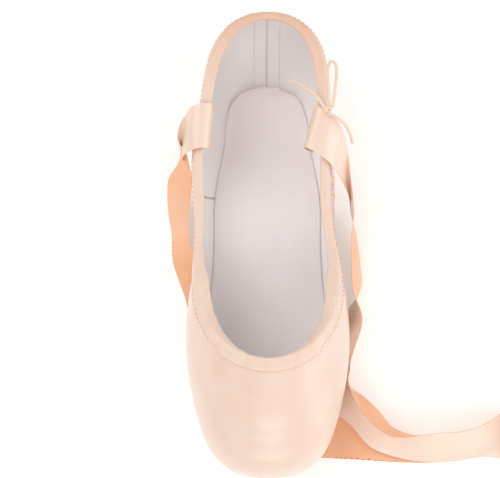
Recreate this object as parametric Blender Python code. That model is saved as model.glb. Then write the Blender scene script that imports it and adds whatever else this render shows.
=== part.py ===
"""A satin pointe shoe that stands empty on its sole, with its ankle ribbons and drawcord.

Metres, +Z up. The toe points along +X and the side with the drawcord's bow is +Y. The origin is on
the floor, in the middle of the shoe's length. Every curved piece is a skin between forms of one last:
the last is a half width for each place along the shoe and each height, and it can be grown or shrunk.
"""

import math

import bmesh
import bpy
import numpy as np
from mathutils import Vector

# Length and widths of the last
SHOE_LENGTH = 0.238
HEEL_WIDTH = 0.0655
WAIST_WIDTH = 0.0706
BALL_WIDTH = 0.0834
PLATFORM_WIDTH = 0.0522
HEEL_CURVE = 0.036          # how far in from the back the heel's plan reaches its full width
TOE_CORNER = 0.016          # the same for the platform's rounded corners

# Heights above the floor
HEEL_HEIGHT = 0.063         # collar at the back seam
SIDE_HEIGHT = 0.0395        # collar at the waist
THROAT_HEIGHT = 0.056       # front of the throat
PLATFORM_TOP = 0.0365
HEEL_BULGE_HEIGHT = 0.026
BALL_BULGE_HEIGHT = 0.017
PLATFORM_BULGE_HEIGHT = 0.018
ARCH_HEIGHT = 0.008
LEVEL_HEEL = 0.24           # the underside is level up to this share of the length
LEVEL_BALL = (0.58, 0.68)   # and again between these
TOE_SPRING = 0.0075

# Slopes of the heel and the platform, as seen from the side
HEEL_LEAN = 0.008           # the collar's back lies this far in front of the heel's bulge
HEEL_TUCK = 0.020           # the heel curves in this far under itself
PLATFORM_LEAN = 0.004       # the platform's top edge lies this far behind its front
PLATFORM_TUCK = 0.014
QUARTER_SWAY = 0.0032       # the soft quarters lean this far to the side without the bow
SWAY_START = 0.06           # shares of the length between which they lean
SWAY_LENGTH = 0.60

# How the outline's ends and edges are rounded: 2 is a circle's arc, more is squarer
HEEL_ROUNDNESS = 2.3
TOE_ROUNDNESS = 2.2
TUCK_ROUNDNESS = 2.4
PLATFORM_EDGE_ROUNDNESS = 3.4
SOLE_ROUNDNESS = 2.0
LEAN_CURVE = 1.6            # the heel leans forward slowly at first
PLATFORM_CROWN = 0.002      # the platform's rounding reaches this far above its top edge

# Walls and layers
UPPER_WALL = 0.0020
BINDING_WALL = 0.0009
BINDING_WIDTH = 0.0060
BINDING_TURNED_IN = 0.0050
SOLE_THICKNESS = 0.0030
INSOLE_THICKNESS = 0.0026
GAP = 0.0003                # between pieces that touch
INSOLE_EDGE_GAP = 0.0012    # between the sock's edge and the lining, down in the curve of the wall
SOCK_START = 0.0295         # behind it the lining shows
SOCK_CURVE = 0.022
SOCK_ROUNDNESS = 2.0

# Outsole and the opening that it closes
SOLE_START = 0.022          # behind it the heel is satin
SOLE_FINISH = 0.028         # in front of it the toe is pleated satin
SOLE_HEEL_WIDTH = 0.038
SOLE_WAIST_WIDTH = 0.032
SOLE_BALL_WIDTH = 0.054
SOLE_END_CURVE = 0.020
SOLE_EDGE_ROUND = 0.0008
LASTING_MARGIN = 0.0095

# Throat
THROAT_ROOT = 0.60          # shares of the length
THROAT_FRONT = 0.772
HEEL_CENTRE = 0.17

# Ribbons and drawcord
RIBBON_WIDTH = 0.025
RIBBON_THICKNESS = 0.0004
BOW_TAIL_RUN = 0.064        # each run of a ribbon's tail, folded to and fro
BOW_TAIL_RISE = 0.0016      # from each run to the next one on top of it
PLAIN_TAIL_RUN = 0.060
PLAIN_TAIL_RISE = 0.0005    # the plain side's ribbon lies under the other one
CORD_DIAMETER = 0.0016
KNOT_RADIUS = 0.0026
KNOT_PLACE = -0.0610        # along the shoe, on the +Y side of the collar

# Facets
TOE_RIBS = 24
HEEL_RIBS = 18
SIDE_RIBS = 9
OUTER_ROWS = 16             # from the opening underneath to the binding's edge
INNER_ROWS = 12
RIBBON_STEPS = 2            # between two rows of a ribbon's table
BINDING_ROWS = 4            # from the binding's edge to the rim
TURNED_IN_ROWS = 3

SURFACE_STEPS = 36          # halvings in each search for a surface
PROFILE_POINTS = 420
OUTSOLE_RINGS = (0.0, 0.35, 0.65, 0.85, 1.0)
SOCK_RINGS = (0.0, 0.5, 0.85, 1.0)
MARGIN_RINGS = (1.0, 0.75, 0.4, 0.0)
BOARD_RINGS = (1.0, 0.5, 0.0)
CORE_SHARE = 0.40           # of the way up to the collar, where each rib's rays start
PROBE_HEIGHT = 0.008        # above the underside, where each search for it starts

BED_HEIGHT = SOLE_THICKNESS + GAP

# Plan of the last: share of the length, the width that it follows, share of that width
PLAN = (
    (0.00, HEEL_WIDTH, 0.99),
    (0.16, HEEL_WIDTH, 1.00),
    (0.33, WAIST_WIDTH, 1.01),
    (0.49, WAIST_WIDTH, 1.00),
    (0.60, BALL_WIDTH, 0.95),
    (0.69, BALL_WIDTH, 1.00),
    (0.78, BALL_WIDTH, 0.965),
    (0.87, BALL_WIDTH, 0.855),
    (0.94, PLATFORM_WIDTH, 1.18),
    (1.00, PLATFORM_WIDTH, 1.03),
)

# Ridge of the closed last: share of the length, the height that it follows, share of that height
RIDGE = (
    (0.00, HEEL_HEIGHT, 1.30),
    (0.15, HEEL_HEIGHT, 1.26),
    (0.33, SIDE_HEIGHT, 1.74),
    (0.50, SIDE_HEIGHT, 1.47),
    (0.60, THROAT_HEIGHT, 1.00),
    (0.76, THROAT_HEIGHT, 1.00),
    (0.86, THROAT_HEIGHT, 0.86),
    (1.00, PLATFORM_TOP, 1.00),
)

# Collar line seen from the side, back of the throat only
COLLAR = (
    (0.00, HEEL_HEIGHT, 1.00),
    (0.08, HEEL_HEIGHT, 0.98),
    (0.23, HEEL_HEIGHT, 0.84),
    (0.38, SIDE_HEIGHT, 1.09),
    (0.49, SIDE_HEIGHT, 1.00),
    (0.60, SIDE_HEIGHT, 1.12),
    (0.70, THROAT_HEIGHT, 1.00),
)

# Height at which the last is widest
WIDEST = (
    (0.00, HEEL_BULGE_HEIGHT, 1.0),
    (0.30, HEEL_BULGE_HEIGHT, 0.85),
    (0.62, BALL_BULGE_HEIGHT, 1.0),
    (0.85, BALL_BULGE_HEIGHT, 1.0),
    (1.00, PLATFORM_BULGE_HEIGHT, 1.0),
)

# How square the section is above its widest height
SQUARENESS = (
    (0.00, 2.5, 1.0),
    (0.30, 2.6, 1.0),
    (0.60, 2.6, 1.0),
    (0.80, 2.4, 1.0),
    (0.94, 2.7, 1.0),
    (1.00, 3.0, 1.0),
)
SOLE_SQUARENESS = 4.0

# The sole line: share of the length, the height that it follows, share of that height above the bed
SOLE_LINE = (
    (0.00, ARCH_HEIGHT, 0.0),
    (0.12, ARCH_HEIGHT, 0.0),
    (0.24, ARCH_HEIGHT, 0.0),
    (0.32, ARCH_HEIGHT, 0.55),
    (0.41, ARCH_HEIGHT, 1.0),
    (0.50, ARCH_HEIGHT, 0.55),
    (0.58, ARCH_HEIGHT, 0.0),
    (0.68, TOE_SPRING, 0.0),
    (0.76, TOE_SPRING, 0.2),
    (0.86, TOE_SPRING, 0.55),
    (1.00, TOE_SPRING, 1.0),
)

# Outsole: share of its own length, the width that it follows, share of that width
SOLE_PLAN = (
    (0.00, SOLE_HEEL_WIDTH, 0.97),
    (0.14, SOLE_HEEL_WIDTH, 1.00),
    (0.40, SOLE_WAIST_WIDTH, 1.00),
    (0.62, SOLE_BALL_WIDTH, 0.93),
    (0.76, SOLE_BALL_WIDTH, 1.00),
    (1.00, SOLE_BALL_WIDTH, 0.86),
)

# The ribbon sewn in on the -Y side: middle x, y, z and the way across it x, y, z, all in millimetres,
# the share of its width that shows (it is folded lengthwise under the shoe's edge), and its curl.
PLAIN_RIBBON = (
    (-55, -27.0, 37.0, 22, -1, -6, 0.9, 0.0),
    (-51, -27.2, 45.5, 22, -2, -6, 0.9, 0.0),
    (-50, -28.4, 52.4, 22, -2, -6, 0.9, 0.0),
    (-49, -33.2, 54.4, 22, -2, -6, 0.9, 0.0),
    (-48, -38.8, 51.6, 21, -1, -7, 0.9, 0.4),
    (-46, -42.6, 45.0, 19, -5, -9, 0.85, 0.4),
    (-42, -44.8, 37.5, 14, -9, -14, 0.85, 0.2),
    (-37, -46.2, 29.5, 6, -11, -18, 0.9, 0.0),
    (-30, -45.6, 21.5, 0, -12, -19, 1.0, -0.6),
    (-19, -46.0, 15.6, -1, -11, -20, 1.0, -1.0),
    (-7, -45.4, 12.4, -2, -8, -19, 1.0, -0.8),
    (5, -43.6, 7.0, -1, -10, -8, 0.6, -0.4),
    (16, -39.2, 2.2, 0, -14, -2, 0.52, 0.0),
    (28, -35.2, 1.2, 0, -10, 0, 0.5, 0.0),
    (42, -34.4, 0.8, 0, -10, 0, 0.5, 0.0),
    (57, -33.6, 0.7, 1, -10, 0, 0.5, 0.0),
    (72, -29.0, 0.9, 4, -10, 0, 0.7, 0.0),
    (86, -20.0, 2.0, 7, -7, 0, 0.9, 0.0),
    (95, -9.0, 3.2, 10, -2, 0, 1.0, 0.0),
    (97, 8.0, 3.2, 10, -1, 0, 1.0, 0.0),
    (98, 28.0, 2.4, 10, -1, 0, 0.95, 0.0),
    (100.5, 44.0, 1.4, 10, -2, 0, 0.75, 0.0),
    (104, 62.0, 0.9, 10, -2, 0, 0.55, 0.0),
    (105.6, 84.0, 0.7, 10, 0, 0, 0.5, 0.0),
    (103, 102.0, 0.6, 10, 1, 0, 0.5, 0.0),
    (99, 122.0, 0.6, 10, 1, 0, 0.55, 0.0),
)

# The same for the ribbon on the bow's side.
BOW_RIBBON = (
    (-52, 23.2, 38.0, 19, 0, -4, 0.82, 0.0),
    (-51.5, 21.6, 44.5, 19, -3, -5, 0.85, 0.0),
    (-51, 20.4, 50.5, 19, -5, -6, 0.86, 0.0),
    (-50, 22.2, 54.2, 20, -6, -7, 0.86, 0.0),
    (-47, 27.6, 54.8, 21, -4, -7, 0.9, 0.0),
    (-42.5, 33.6, 51.4, 22, -1, -9, 0.98, 0.6),
    (-37, 38.2, 42.8, 21, 0, -13, 1.0, 0.8),
    (-33, 40.6, 36.0, 20, 1, -15, 1.0, 0.5),
    (-26, 42.6, 26.5, 10, 1, -18, 0.9, 0.0),
    (-16, 43.8, 17.5, -5, 1, -23, 1.0, 0.0),
    (-4, 43.6, 15.0, -5, -2, -23, 1.0, 0.6),
    (10, 43.4, 13.4, -4, -5, -22, 1.0, 1.0),
    (24, 42.8, 12.2, -4, -8, -18, 1.0, 1.0),
    (38, 41.6, 8.6, -3, -12, -13, 0.8, 0.8),
    (51, 37.4, 4.2, -1, -16, -6, 0.66, 0.4),
    (63, 35.4, 2.6, 1, -17, -2, 0.58, 0.0),
    (73, 38.2, 6.2, 5, -14, -4, 0.7, 0.6),
    (82, 44.6, 11.2, 8, -15, -10, 0.95, 2.0),
    (89, 51.0, 13.6, 8, -14, -15, 1.0, 2.6),
    (99, 59.0, 13.6, 8, -11, -14, 1.0, 2.2),
    (104, 71.0, 13.0, 9, -8, -13, 1.0, 1.6),
    (106.5, 84.0, 12.0, 9.5, -4, -13, 1.0, 1.2),
    (105, 98.0, 11.4, 10, -3, -12, 1.0, 0.8),
    (100, 113.0, 8.6, 12, -2, -9, 1.0, 0.4),
    (97, 124.0, 4.0, 16, 0, -3, 1.0, 0.0),
)

# The drawcord's ends and loop leave the knot: x, y, z from its middle, in millimetres.
INNER_END = ((-1.6, -2.0, 2.0), (-4, -4, 4.6), (-8, -8, 6.4), (-11, -12, 6.2), (-14.5, -16, 4.0), (-17, -19.5, 0.5))
OUTER_END = ((2.0, 1.8, 0.6), (3.6, 4.6, 1.0), (5.8, 8, -1.0), (8, 10.6, -6.0), (9.4, 12.2, -12.0), (9.8, 13.2, -19.0))
LOOP = (
    (-2.8, 0.6, 0.8), (-8, 0.2, 4.0), (-15, -0.4, 8.0), (-20, -0.2, 10.0), (-23, 1.4, 10.6),
    (-22, 3.4, 9.8), (-17, 4.0, 8.0), (-10.5, 3.4, 5.2), (-5, 2.8, 2.6), (-1.8, 2.2, 1.2),
)
MM = 0.001

SATIN = (0.955, 0.80, 0.69, 1.0)
SATIN_EDGE = (0.93, 0.76, 0.63, 1.0)
COTTON = (0.80, 0.77, 0.77, 1.0)
LEATHER = (0.42, 0.24, 0.13, 1.0)


def along(table, share):
    """The smooth curve through a table's sizes, read at shares of the length."""
    stations = np.array([row[0] for row in table])
    sizes = np.array([row[1] * row[2] for row in table])
    slopes = np.gradient(sizes, stations)
    share = np.clip(share, stations[0], stations[-1])
    step = np.clip(np.searchsorted(stations, share) - 1, 0, len(stations) - 2)
    span = stations[step + 1] - stations[step]
    t = (share - stations[step]) / span
    before = sizes[step] * (2 * t**3 - 3 * t**2 + 1) + slopes[step] * span * (t**3 - 2 * t**2 + t)
    after = sizes[step + 1] * (3 * t**2 - 2 * t**3) + slopes[step + 1] * span * (t**3 - t**2)
    return before + after


def length_share(x):
    return x / SHOE_LENGTH + 0.5


def place_at(share):
    return (share - 0.5) * SHOE_LENGTH


def rounded(way_in, squareness):
    """Share of the full size, a share way_in of the way from a round end to the full size."""
    left = 1.0 - np.clip(way_in, 0.0, 1.0)
    return (1.0 - left**squareness) ** (1.0 / squareness)


def bed(x):
    """Height of the last's underside in the middle. Heel and forefoot are level."""
    share = length_share(x)
    line = along(SOLE_LINE, share)
    level = (share < LEVEL_HEEL) | ((share > LEVEL_BALL[0]) & (share < LEVEL_BALL[1]))
    return BED_HEIGHT + np.where(level, 0.0, line)


def heel_line(z, grow):
    """How far the back of the last lies in front of its rearmost point, at each height."""
    fall = (HEEL_BULGE_HEIGHT - z) / (HEEL_BULGE_HEIGHT - BED_HEIGHT + grow)
    rise = (z - HEEL_BULGE_HEIGHT) / (HEEL_HEIGHT - HEEL_BULGE_HEIGHT)
    tuck = HEEL_TUCK * (1.0 - rounded(1.0 - np.clip(fall, 0.0, 1.0), HEEL_ROUNDNESS))
    return tuck + HEEL_LEAN * np.clip(rise, 0.0, 2.0) ** LEAN_CURVE


def toe_line(z, grow):
    """How far the platform lies behind the last's front, at each height."""
    bottom = BED_HEIGHT + TOE_SPRING - grow
    fall = (PLATFORM_BULGE_HEIGHT - z) / (PLATFORM_BULGE_HEIGHT - bottom)
    rise = (z - PLATFORM_BULGE_HEIGHT) / (PLATFORM_TOP + PLATFORM_CROWN + grow - PLATFORM_BULGE_HEIGHT)
    under = PLATFORM_TUCK * (1.0 - rounded(1.0 - np.clip(fall, 0.0, 1.0), TUCK_ROUNDNESS))
    over = PLATFORM_TUCK * (1.0 - rounded(1.0 - np.clip(rise, 0.0, 1.0), PLATFORM_EDGE_ROUNDNESS))
    return under + over + PLATFORM_LEAN * np.clip(rise, 0.0, 1.0) ** 2


def half_width(x, z, grow=0.0):
    """Half the last's width at a place along it and a height, and zero outside it."""
    start = heel_line(z, grow) - grow - SHOE_LENGTH / 2
    finish = SHOE_LENGTH / 2 - toe_line(z, grow) + grow
    share = length_share(x)
    full = along(PLAN, (x - start) / (finish - start)) / 2 + grow
    full = full * rounded((x - start) / HEEL_CURVE, HEEL_ROUNDNESS)
    full = full * rounded((finish - x) / TOE_CORNER, TOE_ROUNDNESS)
    bottom = bed(x) - grow
    top = along(RIDGE, share) + grow
    widest = along(WIDEST, share)
    above = rounded(1.0 - (z - widest) / (top - widest), along(SQUARENESS, share))
    below = rounded(1.0 - (widest - z) / (widest - bottom), SOLE_SQUARENESS)
    return full * np.where(z > widest, above, below)


def reach(start, heading, grow):
    """Distance from points inside the last to its surface, along their headings."""
    near = np.zeros(heading[0].shape)
    far = np.full(heading[0].shape, SHOE_LENGTH)
    for _ in range(SURFACE_STEPS):
        middle = (near + far) / 2
        x, y, z = (start[axis] + middle * heading[axis] for axis in range(3))
        within = np.abs(y) < half_width(x, z, grow)
        near = np.where(within, middle, near)
        far = np.where(within, far, middle)
    return near


def ribs():
    """Foot and heading of each upright half plane round the shoe, from the toe's -Y side."""
    toe_x = place_at(THROAT_ROOT)
    heel_x = place_at(HEEL_CENTRE)
    side = np.linspace(toe_x, heel_x, SIDE_RIBS + 2)[1:-1]
    toe = [(toe_x, angle) for angle in np.linspace(-90, 90, TOE_RIBS + 1)]
    heel = [(heel_x, angle) for angle in np.linspace(90, 270, HEEL_RIBS + 1)]
    far_side = [(x, 90.0) for x in side]
    near_side = [(x, 270.0) for x in side[::-1]]
    feet, angles = zip(*(toe + far_side + heel + near_side))
    angles = np.radians(angles)
    return np.array(feet), np.cos(angles), np.sin(angles)


RIB_X, RIB_COS, RIB_SIN = ribs()


def core_height():
    """Height inside the last that every part of its section can be seen from."""
    return bed(RIB_X) + CORE_SHARE * (along(COLLAR, length_share(RIB_X)) - bed(RIB_X))


def rib_profiles(grow):
    """Outline of the last in each half plane, from below the rib's foot round to above it."""
    lift = np.radians(np.linspace(-89.0, 89.5, PROFILE_POINTS))
    flat = np.cos(lift)[None, :]
    heading = (RIB_COS[:, None] * flat, RIB_SIN[:, None] * flat, np.sin(lift)[None, :] + 0 * RIB_X[:, None])
    foot = (RIB_X[:, None], 0.0, core_height()[:, None])
    distance = reach(foot, heading, grow)
    return np.stack([foot[axis] + distance * heading[axis] for axis in range(3)], axis=-1)


def throat_half_width(grow, raised):
    """Half the throat's width at its root, where it meets the collar line of the sides."""
    return float(half_width(place_at(THROAT_ROOT), along(COLLAR, THROAT_ROOT) + raised, grow))


def past_rim(points, raised, width):
    """Above zero where points of a profile lie beyond the collar's edge."""
    x, y, z = points.T
    side = (z - along(COLLAR, length_share(x)) - raised) / SIDE_HEIGHT
    length = (THROAT_FRONT - THROAT_ROOT) * SHOE_LENGTH - raised
    front = 1.0 - ((x - place_at(THROAT_ROOT)) / length) ** 2 - (y / width) ** 2
    front = np.where(z > along(WIDEST, length_share(x)), front, -1.0)
    return np.where(x > place_at(THROAT_ROOT) + 1e-7, front, side)


def sole_half_width(x, inset):
    """Half the outsole's width, drawn in all round by an inset."""
    start = SOLE_START + inset - SHOE_LENGTH / 2
    finish = SHOE_LENGTH / 2 - SOLE_FINISH - inset
    full = along(SOLE_PLAN, (x - start) / (finish - start)) / 2 - inset
    back = rounded((x - start) / SOLE_END_CURVE, SOLE_ROUNDNESS)
    front = rounded((finish - x) / SOLE_END_CURVE, SOLE_ROUNDNESS)
    return full * back * front


def outline_reach(inset):
    """Distance from each rib's foot to the outline of the sole, drawn in by an inset."""
    near = np.zeros(RIB_X.shape)
    far = np.full(RIB_X.shape, SHOE_LENGTH)
    for _ in range(SURFACE_STEPS):
        middle = (near + far) / 2
        x = RIB_X + middle * RIB_COS
        within = np.abs(middle * RIB_SIN) < sole_half_width(x, inset)
        near = np.where(within, middle, near)
        far = np.where(within, far, middle)
    return near


def underside(x, y, grow):
    """Height of the last's underside above or below the middle of each place."""
    start_height = bed(x) + PROBE_HEIGHT
    down = (0.0 * x, 0.0 * x, 0.0 * x - 1.0)
    return start_height - reach((x, y, start_height), down, grow)


def lengths_along(points):
    steps = np.linalg.norm(np.diff(points, axis=0), axis=1)
    return np.concatenate([[0.0], np.cumsum(steps)])


def read_at(points, lengths, wanted):
    return np.stack([np.interp(wanted, lengths, points[:, axis]) for axis in range(3)], axis=-1)


def wall_rings(grow, raised, band, band_rows, rows_below=0):
    """Rings of the last's wall up to the rim: an even band below the rim, and the wall under it."""
    openings = outline_reach(LASTING_MARGIN)
    throat = throat_half_width(grow, raised)
    rows = []
    for profile, foot_x, opening in zip(rib_profiles(grow), RIB_X, openings):
        lengths = lengths_along(profile)
        outwards = np.hypot(profile[:, 0] - foot_x, profile[:, 1])
        widest = int(np.argmax(outwards))
        start = np.interp(opening, outwards[:widest], lengths[:widest])
        beyond = past_rim(profile, raised, throat)
        after = widest + int(np.argmax(beyond[widest:] > 0))
        before = after - 1
        part = -beyond[before] / (beyond[after] - beyond[before])
        finish = lengths[before] + part * (lengths[after] - lengths[before])
        wanted = np.linspace(finish - band, finish, band_rows + 1)
        if rows_below:
            wanted = np.concatenate([np.linspace(start, finish - band, rows_below + 1)[:-1], wanted])
        rows.append(read_at(profile, lengths, wanted))
    return [swayed(ring) for ring in np.stack(rows, axis=1)]


def swayed(ring):
    """Lean the soft quarters sideways, more with the height, and leave heel and toe upright."""
    share = length_share(ring[:, 0])
    softness = np.sin(np.pi * np.clip((share - SWAY_START) / SWAY_LENGTH, 0.0, 1.0)) ** 2
    height = np.clip((ring[:, 2] - BALL_BULGE_HEIGHT) / (SIDE_HEIGHT - BALL_BULGE_HEIGHT), 0.0, 1.0)
    moved = ring.copy()
    moved[:, 1] -= QUARTER_SWAY * softness * height
    return moved


def fabric(name, colour, roughness):
    material = bpy.data.materials.new(name)
    material.use_nodes = True
    shader = material.node_tree.nodes["Principled BSDF"]
    shader.inputs["Base Color"].default_value = colour
    shader.inputs["Roughness"].default_value = roughness
    return material


def skin(name, rings, material, closed):
    """One solid from rings of equal length. Closed rings of rings make a wall, others end on a line."""
    mesh = bpy.data.meshes.new(name)
    build = bmesh.new()
    loops = [[build.verts.new(Vector(point)) for point in ring] for ring in rings]
    pairs = list(zip(loops, loops[1:]))
    if closed:
        pairs.append((loops[-1], loops[0]))
    for one, two in pairs:
        for place in range(len(one)):
            after = (place + 1) % len(one)
            a, b, c, d = one[place], one[after], two[after], two[place]
            if (a.co - c.co).length < (b.co - d.co).length:
                halves = (a, b, c), (a, c, d)
            else:
                halves = (a, b, d), (b, c, d)
            for half in halves:
                build.faces.new(half)
    bmesh.ops.remove_doubles(build, verts=build.verts, dist=1e-6)
    bmesh.ops.dissolve_degenerate(build, edges=build.edges, dist=1e-7)
    bmesh.ops.recalc_face_normals(build, faces=build.faces)
    build.to_mesh(mesh)
    build.free()
    mesh.materials.append(material)
    mesh.shade_smooth()
    mesh.set_sharp_from_angle(angle=math.radians(40))
    piece = bpy.data.objects.new(name, mesh)
    bpy.context.collection.objects.link(piece)
    return piece


def make_upper(satin):
    """Satin over a stiff box, one wall, open at the collar and along the lasted opening underneath."""
    outside = wall_rings(0.0, 0.0, BINDING_WIDTH, BINDING_ROWS, OUTER_ROWS)
    inside = wall_rings(-UPPER_WALL, 0.0, BINDING_TURNED_IN, TURNED_IN_ROWS, INNER_ROWS)
    return skin("upper", outside + inside[::-1], satin, closed=True)


def make_binding(edging):
    """The bias-cut casing, folded over the collar's edge and cut from grown and shrunk lasts."""
    fold = GAP + BINDING_WALL
    outside = wall_rings(fold, fold, BINDING_WIDTH + fold, BINDING_ROWS)
    inside = wall_rings(-UPPER_WALL - fold, fold, BINDING_TURNED_IN + fold, TURNED_IN_ROWS)
    lining = wall_rings(-UPPER_WALL - GAP, GAP, BINDING_TURNED_IN + GAP, TURNED_IN_ROWS)
    facing = wall_rings(GAP, GAP, BINDING_WIDTH + GAP, BINDING_ROWS)
    rings = outside + inside[::-1] + lining + facing[::-1]
    return skin("collar_binding", rings, edging, closed=True)


def plan_ring(distance, height):
    """A ring at a distance from each rib's foot, with its height from a function of x and y."""
    x = RIB_X + distance * RIB_COS
    y = distance * RIB_SIN
    return np.stack([x, y, height(x, y)], axis=-1)


def make_outsole(leather):
    """A thin leather sole, smaller than the shoe, level under heel and forefoot."""
    edge = outline_reach(0.0)

    def top(x, y):
        return underside(x, y, GAP)

    def bottom(x, y):
        return bed(x) - BED_HEIGHT

    upper_face = [plan_ring(edge * share, top) for share in OUTSOLE_RINGS]
    rounding = plan_ring(edge, lambda x, y: bottom(x, y) + SOLE_EDGE_ROUND)
    lower_face = [plan_ring(edge * share - SOLE_EDGE_ROUND * share, bottom) for share in OUTSOLE_RINGS]
    return skin("outsole", upper_face + [rounding] + lower_face[::-1], leather, closed=False)


def sock_reach(height, shrink):
    """Distance from each rib's foot to the sock's edge: the lining, and a round end at the heel."""
    near = np.zeros(RIB_X.shape)
    far = np.full(RIB_X.shape, SHOE_LENGTH)
    for _ in range(SURFACE_STEPS):
        middle = (near + far) / 2
        x = RIB_X + middle * RIB_COS
        heel_end = rounded((x - SOCK_START + SHOE_LENGTH / 2) / SOCK_CURVE, SOCK_ROUNDNESS)
        within = np.abs(middle * RIB_SIN) < half_width(x, height, -shrink) * heel_end
        near = np.where(within, middle, near)
        far = np.where(within, far, middle)
    return near


def make_insole(cotton):
    """The sock on its board: it lies on the lasted margin and fills the opening underneath."""
    clear = UPPER_WALL + GAP
    foot_height = bed(RIB_X) + clear + 0.6 * INSOLE_THICKNESS
    plug = outline_reach(LASTING_MARGIN + GAP)
    edge = np.maximum(sock_reach(foot_height, clear) - INSOLE_EDGE_GAP, plug + GAP)

    def top(x, y):
        return bed(x) + clear + INSOLE_THICKNESS

    def on_margin(x, y):
        return underside(x, y, -clear)

    def on_sole(x, y):
        return underside(x, y, 0.0)

    sock = [plan_ring(edge * share, top) for share in SOCK_RINGS]
    margin = [plan_ring(plug + (edge - plug) * share, on_margin) for share in MARGIN_RINGS]
    board = [plan_ring(plug * share, on_sole) for share in BOARD_RINGS]
    return skin("insole", sock + margin + board, cotton, closed=False)


def smooth(table, steps):
    """Rows of a table with a smooth curve through them, and steps rows for each of the table's."""
    rows = np.array(table, dtype=float)
    gaps = np.linalg.norm(np.diff(rows[:, :3], axis=0), axis=1)
    places = np.concatenate([[0.0], np.cumsum(gaps)])
    wanted = np.interp(np.arange((len(rows) - 1) * steps + 1) / steps, np.arange(len(rows)), places)
    columns = [along([(place, 1.0, size) for place, size in zip(places, column)], wanted) for column in rows.T]
    return np.stack(columns, axis=-1)


def with_tail(table, length, climb, runs):
    """Add a ribbon's tail, folded to and fro where its table ends."""
    rows = list(table)
    x, y, z, *rest = rows[-1]
    rise = climb / MM
    lead = 3.0              # the straight before and after each fold
    ends = (y, y + length / MM)
    for run in range(runs):
        way = 1 if run % 2 == 0 else -1
        start, finish = ends[::way]
        level = z + run * rise
        if run:
            rows.append((x, start, level, *rest))
        rows.append((x, start + way * lead, level, *rest))
        rows.append((x, finish - way * lead, level, *rest))
        rows.append((x, finish, level, *rest))
        if run < runs - 1:
            rows.append((x, finish + way * abs(rise) / 2, level + rise / 2, *rest))
    return rows


def make_ribbon(name, table, satin):
    """A satin ribbon as a thin solid that follows its table of places and slants."""
    rows = smooth(table, RIBBON_STEPS)
    middles = rows[:, :3] * MM
    across = rows[:, 3:6] / np.linalg.norm(rows[:, 3:6], axis=1)[:, None]
    ways = np.gradient(middles, axis=0)
    normals = np.cross(ways, across)
    normals /= np.linalg.norm(normals, axis=1)[:, None]
    across = across * (rows[:, 6] * RIBBON_WIDTH / 2)[:, None]
    curls = normals * (rows[:, 7] * MM)[:, None]
    half_wall = normals * RIBBON_THICKNESS / 2
    spread = ((-1.0, 1), (0.0, 1), (1.0, 1), (1.0, -1), (0.0, -1), (-1.0, -1))
    mesh = bpy.data.meshes.new(name)
    build = bmesh.new()
    loops = []
    for middle, side, curl, wall in zip(middles, across, curls, half_wall):
        places = [middle + side * part + curl * (1 - part * part) + wall * face for part, face in spread]
        loops.append([build.verts.new(place) for place in places])
    for one, two in zip(loops, loops[1:]):
        for place in range(len(spread)):
            after = (place + 1) % len(spread)
            build.faces.new((one[place], one[after], two[after], two[place]))
    for end in (loops[0], loops[-1]):
        build.faces.new((end[0], end[1], end[4], end[5]))
        build.faces.new((end[1], end[2], end[3], end[4]))
    bmesh.ops.recalc_face_normals(build, faces=build.faces)
    bmesh.ops.triangulate(build, faces=build.faces)
    build.to_mesh(mesh)
    build.free()
    mesh.materials.append(satin)
    mesh.shade_smooth()
    mesh.set_sharp_from_angle(angle=math.radians(40))
    piece = bpy.data.objects.new(name, mesh)
    bpy.context.collection.objects.link(piece)
    return piece


def knot_middle():
    """Where the drawcord's knot sits, on the outer edge of the casing's fold."""
    height = float(along(COLLAR, length_share(KNOT_PLACE)))
    fold = GAP + BINDING_WALL
    side = float(half_width(KNOT_PLACE, height, fold))
    return swayed(np.array([[KNOT_PLACE, side, height + fold + GAP + KNOT_RADIUS]]))[0]


def make_knot(cotton):
    bpy.ops.mesh.primitive_uv_sphere_add(segments=14, ring_count=9, radius=KNOT_RADIUS, location=knot_middle())
    knot = bpy.context.object
    knot.name = "drawcord_knot"
    knot.data.materials.append(cotton)
    knot.data.shade_smooth()


def make_cord(name, route, cotton):
    """A length of the drawcord, as a round tube on a smooth curve through its route."""
    middle = knot_middle()
    points = smooth([(*place, 0.0) for place in route], 2)[:, :3] * MM + middle
    curve = bpy.data.curves.new(name, "CURVE")
    curve.dimensions = "3D"
    curve.bevel_depth = CORD_DIAMETER / 2
    curve.bevel_resolution = 2
    curve.use_fill_caps = True
    spline = curve.splines.new("POLY")
    spline.points.add(len(points) - 1)
    for point, place in zip(spline.points, points):
        point.co = (*place, 1.0)
    curve.materials.append(cotton)
    piece = bpy.data.objects.new(name, curve)
    bpy.context.collection.objects.link(piece)
    return piece


def main():
    for thing in list(bpy.data.objects):
        bpy.data.objects.remove(thing)
    satin = fabric("satin", SATIN, 0.32)
    edging = fabric("satin_edging", SATIN_EDGE, 0.35)
    cotton = fabric("cotton", COTTON, 0.9)
    leather = fabric("leather", LEATHER, 0.8)
    make_upper(satin)
    make_binding(edging)
    make_outsole(leather)
    make_insole(cotton)
    make_ribbon("ribbon_plain_side", with_tail(PLAIN_RIBBON, PLAIN_TAIL_RUN, PLAIN_TAIL_RISE, 3), satin)
    make_ribbon("ribbon_bow_side", with_tail(BOW_RIBBON, BOW_TAIL_RUN, BOW_TAIL_RISE, 4), satin)
    make_knot(edging)
    make_cord("drawcord_loop", LOOP, edging)
    make_cord("drawcord_inner_end", INNER_END, edging)
    make_cord("drawcord_outer_end", OUTER_END, edging)


main()
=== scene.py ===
# %% [markdown]
# # A pointe shoe in peach satin
#
# The shoe stands empty on its sole with its ribbons and drawcord lying round it.
# This lesson dresses the plain solids of the shoe: each one is copied, made finer and given its folds,
# seams, stitches and cloth. Sizes are in metres, the toe points along +X and +Z is up.

# %% Load the solids
import math

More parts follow.
